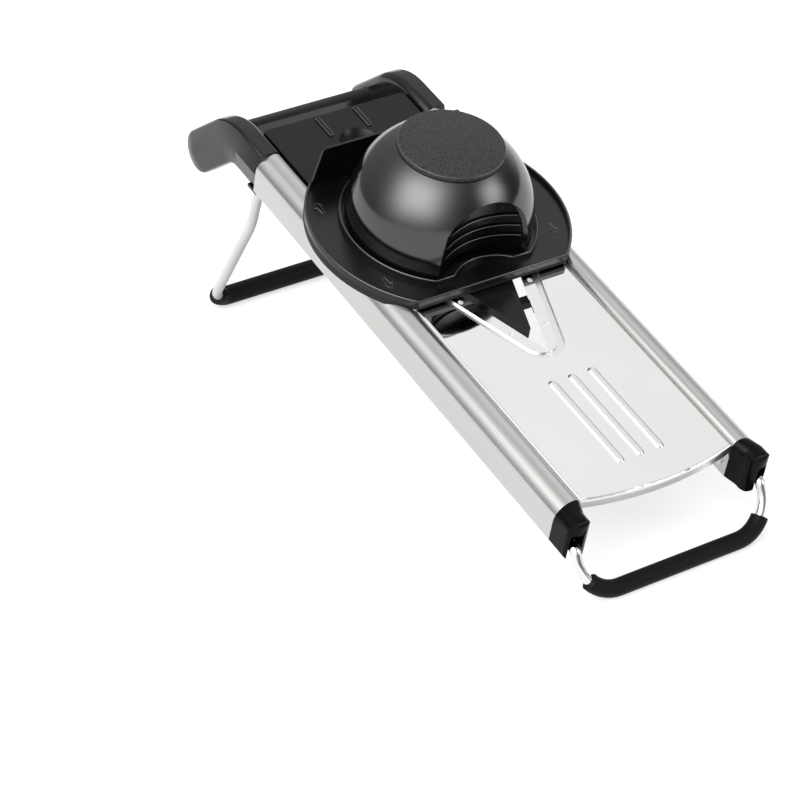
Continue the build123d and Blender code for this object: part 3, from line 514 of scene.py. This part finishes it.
def make_pad_lines():
    """A painted highlight line on the pad's edge and a painted shade line under its rim."""
    # A lighter line on the pad's edge as painted highlight
    make_line("pad_highlight", circle(*PAD_HIGHLIGHT), PAD_HIGHLIGHT_LINE, "pusher", True)
    # A black line in the groove under the pad's rim as painted shade
    make_line("pad_shade", circle(*PAD_SHADE), PAD_SHADE_LINE, "pusher", True, scoop_plastic)


def make_arrow(name, x, y, turn):
    """The outline of an arrow on the tray's brim, turned from +Y by this angle."""
    neck = ARROW_LENGTH - ARROW_HEAD
    side = [(ARROW_HALF_SHAFT, 0), (ARROW_HALF_SHAFT, neck), (ARROW_HALF_HEAD, neck)]
    outline = [*side, (0, ARROW_LENGTH), *[(-across, ahead) for across, ahead in reversed(side)]]
    spin = Matrix.Rotation(math.radians(turn), 2)
    spots = [spin @ Vector(place) for place in outline]
    points = [(x + spot.x, y + spot.y, GUARD_FLOOR_TOP) for spot in spots]
    make_line(name, points, FINE_LINE, "guard", True)


def make_grip(name, middle):
    """The rounded rim of a grip rib on the insert."""
    front = arc(GRIP_FRONT, GRIP_HALF, 180, 360, GRIP_TOP, GRIP_STEPS)
    outline = [(-GRIP_HALF, GRIP_REAR, GRIP_TOP), *front, (GRIP_HALF, GRIP_REAR, GRIP_TOP)]
    make_line(name, [(middle + x, y, z) for x, y, z in outline], FINE_LINE, "insert")


make_tray_rim()
make_collar_rim()
make_ridges()
make_pad_rim()
make_pad_lines()
for arrow in ARROWS:
    make_arrow(*arrow)
make_grip("grip_left", -GRIP_OFFSET)
make_grip("grip_right", GRIP_OFFSET)


# Floor, light and camera

def make_floor():
    """A pale floor that takes the shadow and shows white, in reflections too."""
    shape = bmesh.new()
    corners = ((-1, -1), (1, -1), (1, 1), (-1, 1))
    shape.faces.new([shape.verts.new((x * FLOOR_HALF, y * FLOOR_HALF, 0)) for x, y in corners])
    mesh = bpy.data.meshes.new("floor")
    shape.to_mesh(mesh)
    shape.free()
    material, tree, _ = new_material("floor")
    tree.nodes.clear()
    rays = new_node(tree, "LightPath").outputs
    seen = maths(tree, "MAXIMUM", rays["Is Camera Ray"], rays["Is Transmission Ray"])
    shown = maths(tree, "MAXIMUM", seen, rays["Is Glossy Ray"])
    glow = new_node(tree, "Emission")
    link(tree, maths(tree, "MULTIPLY", shown, FLOOR_GLOW), glow.inputs["Strength"])
    paint = new_node(tree, "BsdfDiffuse")
    paint.inputs["Color"].default_value = (*grey(FLOOR_GREY), 1)
    both = new_node(tree, "AddShader")
    link(tree, paint.outputs["BSDF"], both.inputs[0])
    link(tree, glow.outputs["Emission"], both.inputs[1])
    out = new_node(tree, "OutputMaterial")
    link(tree, both.outputs["Shader"], out.inputs["Surface"])
    mesh.materials.append(material)
    floor = add_object("floor", mesh)


def direction(azimuth, elevation):
    """A unit vector: azimuth from +Y towards +X, elevation above the floor, in degrees."""
    a, e = math.radians(azimuth), math.radians(elevation)
    return Vector((math.sin(a) * math.cos(e), math.cos(a) * math.cos(e), math.sin(e)))


def soft_box(tree, coords, azimuth, elevation, half_wide, half_high, level):
    """A soft lit panel in the surroundings, at half its level at these half angles."""
    middle = direction(azimuth, elevation)
    wide = direction(azimuth + 90, 0)
    high = wide.cross(middle).normalized()
    terms = []
    for axis, half in ((wide, half_wide), (high, half_high)):
        offset = maths(tree, "ABSOLUTE", along(tree, coords, axis / math.sin(math.radians(half))))
        terms.append(maths(tree, "POWER", offset, PANEL_FALLOFF))
    fade = maths(tree, "POWER", 0.5, maths(tree, "ADD", *terms))
    facing = maths(tree, "GREATER_THAN", along(tree, coords, middle), 0.0)
    lit = maths(tree, "MULTIPLY", fade, facing)
    return maths(tree, "MULTIPLY", lit, level)


def make_world():
    """A white backdrop for the camera, and a soft sky with panels for the light."""
    world = bpy.data.worlds.new("studio")
    scene.world = world
    world.use_nodes = True
    tree = world.node_tree
    tree.nodes.clear()
    coords = new_node(tree, "TexCoord").outputs["Generated"]
    total = spread(tree, along(tree, coords, SKY_AXIS), *SKY_LEVELS, *SKY_ENDS)
    for panel in PANELS:
        total = maths(tree, "ADD", soft_box(tree, coords, *panel), total)
    light = new_node(tree, "Background")
    light.inputs["Color"].default_value = (1, 1, 1, 1)
    link(tree, total, light.inputs["Strength"])
    backdrop = new_node(tree, "Background")
    backdrop.inputs["Color"].default_value = (1, 1, 1, 1)
    backdrop.inputs["Strength"].default_value = 1.0
    rays = new_node(tree, "LightPath").outputs
    mix = new_node(tree, "MixShader")
    link(tree, rays["Is Camera Ray"], mix.inputs["Fac"])
    link(tree, light.outputs["Background"], mix.inputs[1])
    link(tree, backdrop.outputs["Background"], mix.inputs[2])
    out = new_node(tree, "OutputWorld")
    link(tree, mix.outputs["Shader"], out.inputs["Surface"])


def make_camera():
    """The camera, placed in the flat frame by its axes."""
    data = bpy.data.cameras.new("camera")
    data.sensor_width = CAMERA_SENSOR
    data.lens = CAMERA_LENS
    camera = add_object("camera", data)
    turn = Matrix((CAMERA_RIGHT, CAMERA_UP, CAMERA_BACK)).transposed().to_4x4()
    camera.matrix_world = FLAT @ Matrix.Translation(CAMERA_PLACE) @ turn
    scene.camera = camera


make_floor()
make_world()
make_camera()
scene.view_settings.view_transform = "Standard"
